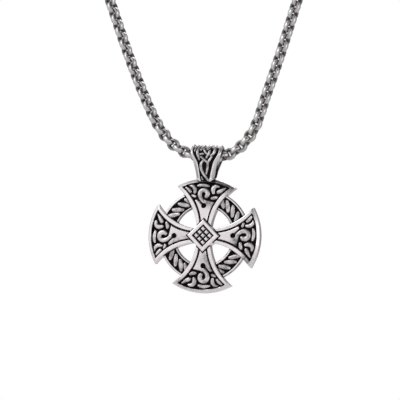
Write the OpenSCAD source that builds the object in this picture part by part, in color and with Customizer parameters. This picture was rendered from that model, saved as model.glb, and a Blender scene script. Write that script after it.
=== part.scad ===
// Ringed cross pendant on a round box chain, hanging as it is worn.
// The origin is the nape of the neck, +Z is up, and the pendant faces -Y.

/* [Cross] */
// Radius of the circle that the four arm ends lie on
cross_r = 16.2; // [16:0.1:16.6]
// Full thickness of the cross from its back to its raised bands
cross_t = 3.8; // [3.4:0.1:4.2]
// Thickness of the recessed ground behind the ornament
ground_t = 2.6; // [2.2:0.1:2.8]
// Radius of the circle that hollows each side of an arm
flank_r = 18.2; // [18:0.1:18.4]
// Radius of the circle that bounds each side of an arm's sunk field
field_r = 14.9; // [14.7:0.1:15.1]
// Width of the raised band along an arm's curved end
end_band = 1.05; // [1:0.05:1.3]

/* [Ring] */
// Outer radius of the ring behind the arms
ring_outer_r = 13; // [12.7:0.1:13.2]
// Inner radius of the ring
ring_inner_r = 8.2; // [8:0.1:8.5]
// Width of each thin rim of the ring
rim_w = 0.7; // [0.5:0.05:0.8]
// Thickness of the ring with its rims
ring_t = 2.4; // [2:0.1:2.8]
// Lean of the twisted bars from the radial direction
rope_lean = 45; // [40:1:50]

/* [Centre] */
// Distance from the centre to a corner of the square boss
boss_r = 4.6; // [4.4:0.1:4.8]
// Width of the boss's border
boss_band = 1.15; // [1:0.05:1.3]
// Height of the boss's border above the raised bands of the arms
boss_rise = 0.9; // [0.5:0.1:1]

/* [Bail] */
// Height of the chain's centre above the cross's centre
hang_h = 22.6; // [22:0.1:23.5]
// Radius of the bail's passage for the chain
bail_bore_r = 2.2; // [2.1:0.05:2.4]
// Thickness of the bail's strap
strap_t = 1.2; // [0.9:0.1:1.3]
// Width of the bail at its crown
bail_w = 9; // [8:0.2:10]
// Width of the bail where it grips the cross
bail_foot_w = 5; // [4:0.2:6]

/* [Chain and clasp] */
// Diameter of the chain
chain_d = 3; // [2.8:0.1:3]
// Wire of the two jump rings
ring_wire = 0.8; // [0.6:0.05:0.9]
// Outer diameter of the two jump rings
jump_ring_d = 5; // [4.8:0.1:5.2]
// Thickness of the clasp
clasp_t = 1.8; // [1.6:0.1:2.2]

/* [Hidden] */
$fn = 72;

silver = "silver";
steel = "lightgray";

// The chain's lowest point, which the pendant hangs and swings on
hang = [0, -104, -201];
hub = hang - [0, 0, hang_h];
front = cross_t / 2;
back = -cross_t / 2;
ground = back + ground_t;
root = ground - 0.4;

// Front of the ring's rims, lower than the bands of the arms
rim_front = 1.5;

// Centres of the two side circles, across and along the arm
flank_at = [20, -0.1];
field_at = [16, 2.1];
groove = 0.3;

// The tongue of one arm ends in an arc and has one drilled dot
tongue_r = 9.8;
dot_at = [-0.17, 8.5];
dot_r = 0.65;

// The scroll above it, with a round eye, and a bar in an arc over it
scroll_at = [-0.45, 11.9];
scroll_r = 1.75;
eye_r = 0.45;
arc_bar_r = [2.05, 2.95];

// The stem, the hook and the leaves of one arm: start, end and width, across and out
LEAVES = [
  // start          end            width
  [[-1.5, 10.9],   [-0.2, 9.6],    0.9],
  [[-5.5, 13.4],   [-4.3, 12.4],   0.9],
  [[-4.1, 13.9],   [-3.3, 13.5],   0.7],
  [[-3.1, 13.2],   [-3.1, 12.2],   0.7],
  [[-3.7, 11.2],   [-3.0, 11.0],   0.6],
  [[3.7, 14],      [2.5, 14],      0.9],
  [[2.2, 13.6],    [2.3, 12.1],    0.9],
  [[5.5, 13.4],    [3.8, 12.3],    0.9],
  [[2.1, 10.6],    [3.3, 10.9],    0.7]
];

// Pitch and width of the plain square studs on the boss
stud_pitch = 1.36;
stud_w = 1.1;

// Angles of the twisted bars, clockwise from an upright arm and from a level one
ROPE_AFTER_UPRIGHT = [37.3, 48.3, 59.8];
ROPE_AFTER_LEVEL = [32.4, 42.5, 54.3];
bar_half = 1.15;
bar_w = 1.05;

// Places along X of the clasp's pieces at the nape
nape_y = 2.5;
link_x = 9.6;
link_r = 1.3;
link_wire = 0.35;
jump_r = (jump_ring_d - ring_wire) / 2;
jump_x = link_x - jump_r;

// The chain's route from the pendant up each side of the neck to the nape
left_route = [
  [-3, -104, -200.9], [-6.3, -104, -200], [-10.8, -104, -197.2],
  [-15, -104, -192.1], [-19, -104, -184.6], [-24, -104, -173.3],
  [-30, -104, -158], [-36, -104, -141.5], [-41.5, -103, -124],
  [-47, -100, -105], [-52, -94, -86], [-56, -84.5, -67.5],
  [-58.2, -71, -50], [-58.8, -55, -34.5], [-56, -38, -22],
  [-49.5, -22, -13], [-38.5, -8, -6.5], [-25, 0.5, -2],
  [-11.4, 2.5, 0]
];
right_route = [
  [3, -104, -201], [6, -104, -200.3], [10.1, -104, -197.3],
  [13.4, -104, -192.2], [16.2, -104, -183.3], [20, -104, -171],
  [24.5, -104, -155], [29.5, -104, -138], [35.5, -103, -120.5],
  [42, -100, -102], [48.5, -94, -83.5], [54, -84.5, -65.5],
  [57.5, -71, -49], [58.8, -55, -34], [56, -38, -22],
  [49.5, -22, -13], [38.5, -8, -6.5], [25, 0.5, -2],
  [11.4, 2.5, 0]
];
neck_y = -57;
chain_sides = 8;
rings_per_span = 2;

function reversed(list) = [for (i = [len(list) - 1 : -1 : 0]) list[i]];
function unit(v) = v / norm(v);

route = concat(reversed(left_route), [hang], right_route);
spans = len(route) - 1;

// A route point, or one step past either end
function knot(i) =
  i < 0 ? 2 * route[0] - route[1]
  : i > spans ? 2 * route[spans] - route[spans - 1]
  : route[i];

// Point on the smooth curve through the knots, where s counts spans
function curve_at(s) =
  let (
    i = min(floor(s), spans - 1),
    t = s - i,
    a = knot(i - 1),
    b = knot(i),
    c = knot(i + 1),
    d = knot(i + 2)
  )
  b + 0.5 * t * ((c - a) + t * (2 * a - 5 * b + 4 * c - d + t * (3 * (b - c) + d - a)));

centres = [for (k = [0 : spans * rings_per_span]) curve_at(k / rings_per_span)];
last_ring = len(centres) - 1;

function heading(k) = unit(centres[min(k + 1, last_ring)] - centres[max(k - 1, 0)]);

// Direction away from the neck's upright axis, square to the chain
function outward(k) =
  let (
    away = unit([centres[k][0], centres[k][1] - neck_y, 0]),
    along = heading(k)
  )
  unit(away - (away * along) * along);

function ring_point(k, j) =
  let (
    out = outward(k),
    side = cross(heading(k), out),
    turn = 360 * (j + 0.5) / chain_sides
  )
  centres[k] + chain_d / 2 * (cos(turn) * out + sin(turn) * side);

// Turns a flat drawing of the pendant upright: depth runs to the front
module upright(from, to) {
  translate(hub)
    rotate([90, 0, 0])
      translate([0, 0, from])
        linear_extrude(height = to - from)
          children();
}

module four() {
  for (turn = [0 : 90 : 270])
    rotate(turn)
      children();
}

// Straight bar with round ends
module bar(start, end, width) {
  run = end - start;
  translate(start)
    circle(d = width);
  translate(end)
    circle(d = width);
  translate(start)
    rotate(atan2(run[1], run[0]))
      translate([0, -width / 2])
        square([norm(run), width]);
}

// One arm seen from the front, between two circles of one radius
module arm_shape(end_r, side_at, side_r) {
  difference() {
    intersection() {
      circle(r = end_r);
      translate([-cross_r, 0])
        square([2 * cross_r, cross_r + 1]);
    }
    for (s = [-1, 1])
      translate([s * side_at[0], side_at[1]])
        circle(r = side_r);
  }
}

module arm_outline(grow = 0) {
  arm_shape(cross_r + grow, flank_at, flank_r - grow);
}

module arm_field(inset = 0) {
  arm_shape(cross_r - end_band - inset, field_at, field_r + inset);
}

module boss_outline(corner_r) {
  rotate(45)
    square(corner_r * sqrt(2), center = true);
}

module ring_band(outer, inner) {
  difference() {
    circle(r = outer);
    circle(r = inner);
  }
}

module ornament() {
  // Smooth tongue that grows from the boss, with its drilled dot
  difference() {
    intersection() {
      arm_field(groove);
      circle(r = tongue_r);
    }
    translate(dot_at)
      circle(r = dot_r);
  }
  // Scroll with its eye
  translate(scroll_at)
    ring_band(scroll_r, eye_r);
  // Bar above the scroll
  intersection() {
    translate(scroll_at)
      ring_band(arc_bar_r[1], arc_bar_r[0]);
    translate([-2.2, 13.4])
      square([3.2, 2]);
  }
  for (leaf = LEAVES)
    bar(leaf[0], leaf[1], leaf[2]);
}

// Bars of the rope between one arm and the next, clear of both
module twisted_bars(angles) {
  middle_r = (ring_outer_r + ring_inner_r) / 2;
  difference() {
    for (angle = angles)
      rotate(-angle)
        translate([0, middle_r])
          rotate(rope_lean)
            bar([0, -bar_half], [0, bar_half], bar_w);
    for (turn = [0, -90])
      rotate(turn)
        arm_outline(groove);
  }
}

// Nine plain square studs, in rows along the sides of the boss
module studs() {
  rotate(45)
    for (i = [-1 : 1])
      for (j = [-1 : 1])
        translate([i * stud_pitch, j * stud_pitch])
          square(stud_w, center = true);
}

// The cast cross: arms, ring and boss are one piece of metal
module cross() {
  color(silver) {
    upright(back, ground)
      four()
        arm_outline();
    upright(rim_front - ring_t, rim_front - 0.9)
      ring_band(ring_outer_r, ring_inner_r);
    upright(back, front + boss_rise - 0.6)
      boss_outline(boss_r);
    upright(root, front + boss_rise - 0.1)
      studs();
    upright(root, front + boss_rise)
      difference() {
        boss_outline(boss_r);
        boss_outline(boss_r - boss_band * sqrt(2));
      }
    upright(root, front)
      four()
        difference() {
          arm_outline();
          arm_field();
          circle(r = boss_r / sqrt(2));
        }
    upright(root, front - 0.15)
      four()
        ornament();
    upright(0, rim_front)
      difference() {
        union() {
          ring_band(ring_outer_r, ring_outer_r - rim_w);
          ring_band(ring_inner_r + rim_w, ring_inner_r);
        }
        four()
          arm_outline(groove);
      }
    upright(0, rim_front + 0.1)
      for (turn = [0, 180])
        rotate(turn) {
          twisted_bars(ROPE_AFTER_UPRIGHT);
          rotate(-90)
            twisted_bars(ROPE_AFTER_LEVEL);
        }
  }
}

// Carries a side view of the bail across its width
module across() {
  rotate([90, 0, 90])
    linear_extrude(height = 2 * bail_w, center = true)
      children();
}

// The bail's strap at full width: crown round the chain, legs down to the cross
module bail_strap() {
  outer_r = bail_bore_r + strap_t;
  foot_z = 14.9 - hang_h;
  grip = front + 0.1;
  lap = 0.5;
  difference() {
    union() {
      across()
        circle(r = outer_r);
      across()
        polygon([[-outer_r + 0.1, lap], [outer_r - 0.1, lap],
                 [grip + 0.8, foot_z], [-grip - 0.8, foot_z]]);
    }
    across()
      circle(r = bail_bore_r);
    across()
      polygon([[-bail_bore_r + 0.1, lap], [bail_bore_r - 0.1, lap], [grip, -5],
               [grip, foot_z - 1], [-grip, foot_z - 1], [-grip, -5]]);
  }
}

// The bail seen from the front: straight crown, then sides that draw in
module bail_front() {
  half = bail_w / 2;
  foot = bail_foot_w / 2;
  polygon([[-half, 4], [half, 4], [half, 1], [half - 0.2, 0], [foot, -6], [foot - 0.9, -7.4],
           [0, -7.7], [0.9 - foot, -7.4], [-foot, -6], [0.2 - half, 0], [-half, 1]]);
}

module bail() {
  color(silver)
    translate(hang)
      intersection() {
        bail_strap();
        rotate([90, 0, 0])
          linear_extrude(height = 2 * bail_w, center = true)
            bail_front();
      }
}

// The chain's outer form, one tube along its whole route
module chain() {
  points = [for (k = [0 : last_ring]) for (j = [0 : chain_sides - 1]) ring_point(k, j)];
  sides = [
    for (k = [0 : last_ring - 1])
      for (j = [0 : chain_sides - 1])
        let (
          a = k * chain_sides + j,
          b = k * chain_sides + (j + 1) % chain_sides,
          c = b + chain_sides,
          d = a + chain_sides
        )
        each [[a, c, b], [a, d, c]]
  ];
  start = [for (j = [0 : chain_sides - 1]) j];
  end = [for (j = [chain_sides - 1 : -1 : 0]) last_ring * chain_sides + j];
  color(steel)
    polyhedron(points = points, faces = concat(sides, [start], [end]), convexity = 10);
}

module wire_ring(middle_r, wire) {
  rotate_extrude()
    translate([middle_r, 0])
      circle(d = wire);
}

// Last link at each end of the chain, standing upright
module end_link(side) {
  color(steel)
    translate([side * link_x, nape_y, 0])
      rotate([90, 0, 0])
        wire_ring(link_r, 2 * link_wire);
}

// Jump ring lying flat between an end link and the clasp
module jump_ring(side) {
  color(steel)
    translate([side * jump_x, nape_y, 0])
      wire_ring(jump_r, ring_wire);
}

// Plain closed hook clasp, with an eye at its left end
module clasp() {
  eye_x = -5.5;
  body_x = 0.6;
  tip_x = 5;
  color(steel)
    translate([0, nape_y, 0])
      rotate([90, 0, 0])
        linear_extrude(height = clasp_t, center = true)
          difference() {
            union() {
              translate([eye_x, 0])
                circle(r = 1.9);
              polygon([[eye_x, -1.4], [-1.6, -2.2], [-1.6, 2.2], [eye_x, 1.4]]);
              translate([body_x, 0])
                circle(r = 3.2);
              polygon([[body_x, -3.2], [tip_x, -2.6], [tip_x, 2.6], [body_x, 3.2]]);
              translate([tip_x, 0])
                circle(r = 2.6);
            }
            translate([eye_x, 0])
              circle(r = 1);
            translate([body_x, 0])
              circle(r = 1.9);
            polygon([[body_x, -1.9], [tip_x, -1.3], [tip_x, 1.3], [body_x, 1.9]]);
            translate([tip_x, 0])
              circle(r = 1.3);
          }
}

cross();
bail();
chain();
end_link(-1);  // end_link_left
end_link(1);  // end_link_right
jump_ring(-1);  // ring_left
jump_ring(1);  // ring_right
clasp();
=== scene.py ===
# %% [markdown]
# # A ringed cross pendant on a round box chain
#
# The real piece is a small casting in the old ringed cross form: four flared arms, a ring with a
# twisted rope in it, a square boss, and a bail with knotwork. The metal was dipped in black, then
# polished, so every raised part is bright and every hollow stays dark. It hangs on a 3 mm chain.
#
# The lesson builds it in that order. Relief this fine could be carved, or printed as a picture of
# bumps, but a grid of points whose depth is worked out with numpy keeps every groove as true
# shape.

import bpy
import numpy as np
from mathutils import Matrix, Vector


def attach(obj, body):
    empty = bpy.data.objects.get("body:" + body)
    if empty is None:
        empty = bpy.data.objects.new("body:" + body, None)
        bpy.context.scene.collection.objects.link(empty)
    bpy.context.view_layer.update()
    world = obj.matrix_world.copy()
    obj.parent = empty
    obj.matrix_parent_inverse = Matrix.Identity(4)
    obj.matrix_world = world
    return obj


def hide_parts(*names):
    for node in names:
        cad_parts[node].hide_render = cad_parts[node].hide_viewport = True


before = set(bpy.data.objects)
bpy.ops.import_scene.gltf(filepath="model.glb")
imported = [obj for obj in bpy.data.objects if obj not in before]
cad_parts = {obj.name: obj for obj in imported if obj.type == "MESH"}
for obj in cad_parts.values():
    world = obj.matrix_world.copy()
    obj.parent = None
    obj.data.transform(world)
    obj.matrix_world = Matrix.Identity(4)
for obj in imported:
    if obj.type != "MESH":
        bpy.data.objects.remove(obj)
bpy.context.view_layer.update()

# %% [markdown]
# The pendant is easiest to think about in millimetres from the centre of its boss: x to the
# right, z up, and depth towards the front. One function carries such places into the frame.

# %% Places on the pendant
MM = 0.001
HANG = np.array([0.0, -104.0, -201.0])
HANG_HEIGHT = 22.6
HUB = HANG - [0, 0, HANG_HEIGHT]


def in_frame(x, z, depth):
    """Point of the frame in metres: x across, z above the boss, depth in front of the middle."""
    x, z, depth = np.broadcast_arrays(x, z, depth)
    return np.stack([HUB[0] + x, HUB[1] - depth, HUB[2] + z], -1) * MM


print("boss centre", in_frame(0, 0, 0))

# %% [markdown]
# ## From arrays to meshes
#
# Each piece is one or more grids of points. A face joins four neighbours of a grid, so the list
# of faces is only arithmetic on row and column numbers. Every point also carries a polish
# number: 1 where the polishing wheel reached, 0 where the black stayed, and lower in a few places
# where shade is painted. The materials read it.

# %% Grids of points into meshes
SHARP_ANGLE = np.radians(40)


def grid_faces(rows, cols, wrap_rows=False, wrap_cols=False):
    """Four-sided faces of a grid numbered row by row, joined round on itself where it wraps."""
    row = np.arange(rows if wrap_rows else rows - 1)[:, None]
    col = np.arange(cols if wrap_cols else cols - 1)[None, :]
    next_row = (row + 1) % rows
    next_col = (col + 1) % cols
    corners = [row * cols + col, row * cols + next_col,
               next_row * cols + next_col, next_row * cols + col]
    return np.stack(np.broadcast_arrays(*corners), -1).reshape(-1, 4)


def add_piece(name, points, faces, polish_and_shade, body, material, nodes, sharp_angle=SHARP_ANGLE):
    """One smooth-shaded mesh object that rides on its body and stands for its CAD nodes."""
    mesh = bpy.data.meshes.new(name)
    mesh.from_pydata(points.reshape(-1, 3).tolist(), [], faces)
    mesh.attributes.new("polish_and_shade", "FLOAT", "POINT").data.foreach_set(
        "value", np.asarray(polish_and_shade, np.float32).ravel())
    mesh.shade_smooth()
    mesh.set_sharp_from_angle(angle=sharp_angle)
    mesh.materials.append(material)
    piece = bpy.data.objects.new(name, mesh)
    bpy.context.collection.objects.link(piece)
    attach(piece, body)
    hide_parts(*nodes)
    triangles = sum(len(face) - 2 for face in faces)
    print(name, "points", len(mesh.vertices), "triangles", triangles)


print("a 2 by 2 grid has the face", grid_faces(2, 2)[0])

# %% A relief with straight walls and a flat back
BACK_ROUND = 0.9
ROUND_STEPS = 4
CORNER_EASE = 0.3


def border_of(rows, cols):
    """Numbers of a grid's outer points in order, anticlockwise as seen from the front."""
    number = np.arange(rows * cols).reshape(rows, cols)
    return np.concatenate([number[0, :-1], number[:-1, -1], number[-1, :0:-1], number[:0:-1, 0]])


def plaque(x, z, depth, back, polish_and_shade, back_round=BACK_ROUND):
    """Closed casting: the relief grid, a wall dropped from its border, a quarter circle that steps
    in square to the border but narrows towards the corners, and a flat back of one strip from
    side to side for each row. With a back_round of 0 the wall goes straight to the back."""
    rows, cols = x.shape
    edge = border_of(rows, cols)
    edge_x, edge_z = x.ravel()[edge], z.ravel()[edge]
    along_x = np.roll(edge_x, -1) - np.roll(edge_x, 1)
    along_z = np.roll(edge_z, -1) - np.roll(edge_z, 1)
    length = np.hypot(along_x, along_z)
    corners = [0, cols - 1, cols + rows - 2, 2 * cols + rows - 3]
    apart = np.hypot(edge_x[:, None] - edge_x[corners], edge_z[:, None] - edge_z[corners])
    inset = np.minimum(back_round, CORNER_EASE * apart.min(axis=1))
    turn = np.linspace(0, np.pi / 2, ROUND_STEPS + 1 if back_round else 1)[:, None]
    step_in = (1 - np.cos(turn)) * inset
    round_x = edge_x - step_in * along_z / length
    round_z = edge_z + step_in * along_x / length
    round_depth = back + back_round * (1 - np.sin(turn))
    points = np.concatenate([
        in_frame(x, z, depth).reshape(-1, 3),
        in_frame(round_x, round_z, round_depth).reshape(-1, 3)])
    count = len(edge)
    loops = rows * cols + np.arange(turn.size * count).reshape(-1, count)
    foot = loops[-1]
    faces = grid_faces(rows, cols).tolist()
    for upper, lower in zip([edge, *loops[:-1]], loops):
        faces += np.stack([upper, lower, np.roll(lower, -1), np.roll(upper, -1)], -1).tolist()
    right_side = foot[cols - 1:cols - 1 + rows]
    left_side = np.roll(foot[::-1], 1)[:rows]
    strips = [left_side[1:-2], left_side[2:-1], right_side[2:-1], right_side[1:-2]]
    faces += np.stack(strips, -1).tolist()
    near_end, far_end = foot[:cols], foot[cols + rows - 2:2 * cols + rows - 2]
    faces.append([*near_end[::-1].tolist(), left_side[1], right_side[1]])
    faces.append([*far_end[::-1].tolist(), right_side[-2], left_side[-2]])
    shine = np.concatenate([polish_and_shade.ravel(), np.ones(loops.size)])
    return points, faces, shine


print("a 3 by 3 grid has the border", border_of(3, 3))

# %% [markdown]
# ## The vocabulary of the ornament
#
# A goldsmith's wax is built from a few gestures: a flat band with soft shoulders, a rounded
# strand that swells and thins, a smooth leaf. Each is a height over the ground, worked out from a
# distance: how far inside an edge a point lies, or how far from a centre line.

# %% Bands, strands and leaves as heights
def smooth_step(low, high, value):
    """0 below low, 1 above high, and between them the curve 3t^2 - 2t^3."""
    share = np.clip((value - low) / (high - low), 0, 1)
    return share * share * (3 - 2 * share)


def shoulder(inside, radius):
    """Quarter circle: 0 at an edge, 1 from the given radius inwards."""
    reach = np.clip(inside / radius, 0, 1)
    return np.sqrt(1 - (1 - reach) ** 2)


def through(points, steps=6):
    """Smooth curve through every point, by the Catmull-Rom formula, for any number of columns."""
    points = np.asarray(points, float)
    before = np.vstack([2 * points[0] - points[1], points])
    padded = np.vstack([before, 2 * points[-1] - points[-2]])
    a, b, c, d = padded[:-3], padded[1:-2], padded[2:-1], padded[3:]
    t = np.linspace(0, 1, steps, endpoint=False)[:, None, None]
    bend = 2 * a - 5 * b + 4 * c - d + t * (3 * (b - c) + d - a)
    curve = b + 0.5 * t * ((c - a) + t * bend)
    return np.vstack([curve.transpose(1, 0, 2).reshape(-1, points.shape[1]), points[-1]])


def strand(x, z, points, power=3.0):
    """Rounded strand: with d the distance from its centre line and w its half width there, the
    height is rise x (1 - (d/w)^power)^(1/power). The points list x, z, width and rise."""
    path = through(points) if len(points) > 2 else np.asarray(points, float)
    height = np.zeros(x.shape)
    for start, end in zip(path[:-1], path[1:]):
        run = end[:2] - start[:2]
        share = ((x - start[0]) * run[0] + (z - start[1]) * run[1]) / (run @ run)
        share = np.clip(share, 0, 1)
        apart = np.hypot(x - start[0] - share * run[0], z - start[1] - share * run[1])
        half_width = (start[2] + share * (end[2] - start[2])) / 2
        rise = start[3] + share * (end[3] - start[3])
        inside = np.clip(1 - (apart / half_width) ** power, 0, 1)
        height = np.maximum(height, rise * inside ** (1 / power))
    return height


def inside_of(x, z, corners):
    """Distance inside a closed outline: to its nearest side, and negative outside, where a line
    to the right crosses the outline an even number of times."""
    corners = np.asarray(corners, float)
    nearest = np.full(x.shape, np.inf)
    crossed = np.zeros(x.shape, bool)
    for start, end in zip(corners, np.roll(corners, -1, axis=0)):
        run = end - start
        share = np.clip(((x - start[0]) * run[0] + (z - start[1]) * run[1]) / (run @ run), 0, 1)
        apart = np.hypot(x - start[0] - share * run[0], z - start[1] - share * run[1])
        nearest = np.minimum(nearest, apart)
        spans = (start[1] > z) != (end[1] > z)
        rise = run[1] if run[1] else 1.0
        crossed ^= spans & (x < start[0] + (z - start[1]) / rise * run[0])
    return np.where(crossed, nearest, -nearest)


SQUARE = [[-1, -1], [1, -1], [1, 1], [-1, 1]]
print("middle of a 2 mm square lies", inside_of(np.zeros(1), np.zeros(1), SQUARE)[0], "mm inside")

# %% [markdown]
# ## Two metals
#
# The casting is silver that was blackened and then polished. It could be painted with a picture
# of light and dark, but the polish number follows the true shape from every side, and only in a
# few places carries painted shade as well. The chain is plain steel, greyer, and painted dark
# only where one link shades the next.

# %% Maths nodes in a row
def chain_of_maths(material, steps):
    """Maths nodes one after another: each step names an operation and its two inputs, where an
    input is a number or a socket, and None is the result of the step before."""
    nodes, links = material.node_tree.nodes, material.node_tree.links
    result = None
    for operation, *inputs in steps:
        node = nodes.new("ShaderNodeMath")
        node.operation = operation
        for place, value in zip(node.inputs, inputs):
            if value is None:
                links.new(result, place)
            elif isinstance(value, (int, float)):
                place.default_value = value
            else:
                links.new(value, place)
        result = node.outputs["Value"]
    return result


# %% Blackened silver and chain steel
# Noise scales are in waves a metre: clouds of 1.25 mm and scratches of 0.4 mm
CLOUD_SCALE, CLOUD_DETAIL = 800, 1.5
CLOUD_LOW, CLOUD_HIGH = 0.3, 0.7
SCRATCH_SCALE, SCRATCH_DETAIL = 2600, 2
SCRATCH_STRENGTH, SCRATCH_DEPTH = 0.25, 0.00004


def metal(name, bright, dark, bright_rough, dark_rough, mottle, stain):
    """Metal whose colour and roughness run from the dark to the bright by the worn polish p':
    with p the polish number, which in places is lowered by painted shade, and c a cloudy
    noise from 0 to 1,
    p' = p (1 - mottle c) + stain (c - 1/2) 4 p (1 - p),
    so half-polished places are blotchy, and bright and black ones stay even."""
    material = bpy.data.materials.new(name)
    material.use_nodes = True
    nodes, links = material.node_tree.nodes, material.node_tree.links
    shader = nodes["Principled BSDF"]
    shader.inputs["Metallic"].default_value = 1.0
    place = nodes.new("ShaderNodeTexCoord")
    attribute = nodes.new("ShaderNodeAttribute")
    attribute.attribute_name = "polish_and_shade"
    polish_and_shade = attribute.outputs["Fac"]
    noise = nodes.new("ShaderNodeTexNoise")
    noise.inputs["Scale"].default_value = CLOUD_SCALE
    noise.inputs["Detail"].default_value = CLOUD_DETAIL
    links.new(place.outputs["Object"], noise.inputs["Vector"])
    spread = nodes.new("ShaderNodeMapRange")
    spread.inputs["From Min"].default_value = CLOUD_LOW
    spread.inputs["From Max"].default_value = CLOUD_HIGH
    links.new(noise.outputs["Fac"], spread.inputs["Value"])
    cloud = spread.outputs["Result"]
    even = chain_of_maths(material, [("MULTIPLY", cloud, -mottle), ("ADD", None, 1.0),
                                     ("MULTIPLY", None, polish_and_shade)])
    half_way = chain_of_maths(material, [("SUBTRACT", 1.0, polish_and_shade), ("MULTIPLY", None, polish_and_shade)])
    worn_and_shaded = chain_of_maths(material, [("SUBTRACT", cloud, 0.5), ("MULTIPLY", None, half_way),
                                     ("MULTIPLY", None, 4 * stain), ("ADD", None, even)])
    colour = nodes.new("ShaderNodeMix")
    colour.data_type = "RGBA"
    colour.inputs["A"].default_value = (*dark, 1)
    colour.inputs["B"].default_value = (*bright, 1)
    links.new(worn_and_shaded, colour.inputs["Factor"])
    links.new(colour.outputs["Result"], shader.inputs["Base Color"])
    rough = nodes.new("ShaderNodeMapRange")
    rough.inputs["To Min"].default_value = dark_rough
    rough.inputs["To Max"].default_value = bright_rough
    links.new(worn_and_shaded, rough.inputs["Value"])
    links.new(rough.outputs["Result"], shader.inputs["Roughness"])
    scratch = nodes.new("ShaderNodeTexNoise")
    scratch.inputs["Scale"].default_value = SCRATCH_SCALE
    scratch.inputs["Detail"].default_value = SCRATCH_DETAIL
    links.new(place.outputs["Object"], scratch.inputs["Vector"])
    bump = nodes.new("ShaderNodeBump")
    bump.inputs["Strength"].default_value = SCRATCH_STRENGTH
    bump.inputs["Distance"].default_value = SCRATCH_DEPTH
    links.new(scratch.outputs["Fac"], bump.inputs["Height"])
    links.new(bump.outputs["Normal"], shader.inputs["Normal"])
    return material


silver = metal("blackened_silver", bright=(0.945, 0.89, 0.913), dark=(0.012, 0.010, 0.011),
               bright_rough=0.24, dark_rough=0.6, mottle=0.13, stain=0.55)
steel = metal("chain_steel", bright=(0.70, 0.672, 0.677), dark=(0.1, 0.095, 0.095),
              bright_rough=0.34, dark_rough=0.5, mottle=0.12, stain=0.3)
print("metals", silver.name, steel.name)

# %% [markdown]
# ## The arms
#
# All four arms are one drawing turned four times. Its sides are arcs of a circle, its end an arc
# of the circle round the whole cross. Inside a raised frame lies a smooth tongue with a drilled
# dot, then a scroll and leaves on a dark ground. The middle of the cross stands a little proud of
# the arm ends, so the front is very slightly domed, and the band along each end slopes back.

# %% The arm's outline and frame
CROSS_R = 16.2
ARM_START = 2.0
BACK = -1.6
ARM_END_DEPTH, DOME_RISE, DOME_R = 1.9, 0.55, 15.2
SIDE_CENTRE, SIDE_R = (20.0, -0.1), 18.2
FIELD_CENTRE, FIELD_R = (16.0, 2.1), 14.9
END_BAND = 1.05
RELIEF = 0.9
BOSS_HALF = 3.27


def crown(x, z):
    """Depth of the polished front: that of the arm ends, plus the rise x (1 - r/R)^0.6 at a
    distance r from the middle, with R the radius where the doming ends."""
    inwards = np.clip(1 - np.hypot(x, z) / DOME_R, 0, 1)
    return ARM_END_DEPTH + DOME_RISE * inwards ** 0.6


def arm_edge(x, z):
    """Distance inside the arm's own outline: two side circles and the circle of the end."""
    side = np.hypot(np.abs(x) - SIDE_CENTRE[0], z - SIDE_CENTRE[1]) - SIDE_R
    return np.minimum(side, CROSS_R - np.hypot(x, z))


def field_edge(x, z):
    """Distance inside the sunk field that the frame goes round."""
    side = np.hypot(np.abs(x) - FIELD_CENTRE[0], z - FIELD_CENTRE[1]) - FIELD_R
    return np.minimum(side, CROSS_R - END_BAND - np.hypot(x, z))


def arm_half_width(z):
    """Half the arm's width at a height: the side circle's own equation."""
    return SIDE_CENTRE[0] - np.sqrt(SIDE_R ** 2 - (z - SIDE_CENTRE[1]) ** 2)


heights = np.linspace(ARM_START, CROSS_R, 4000)
corner = np.argmin(np.abs(np.hypot(arm_half_width(heights), heights) - CROSS_R))
TIP = heights[corner]
print("arm corner at", arm_half_width(TIP), TIP)

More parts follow.
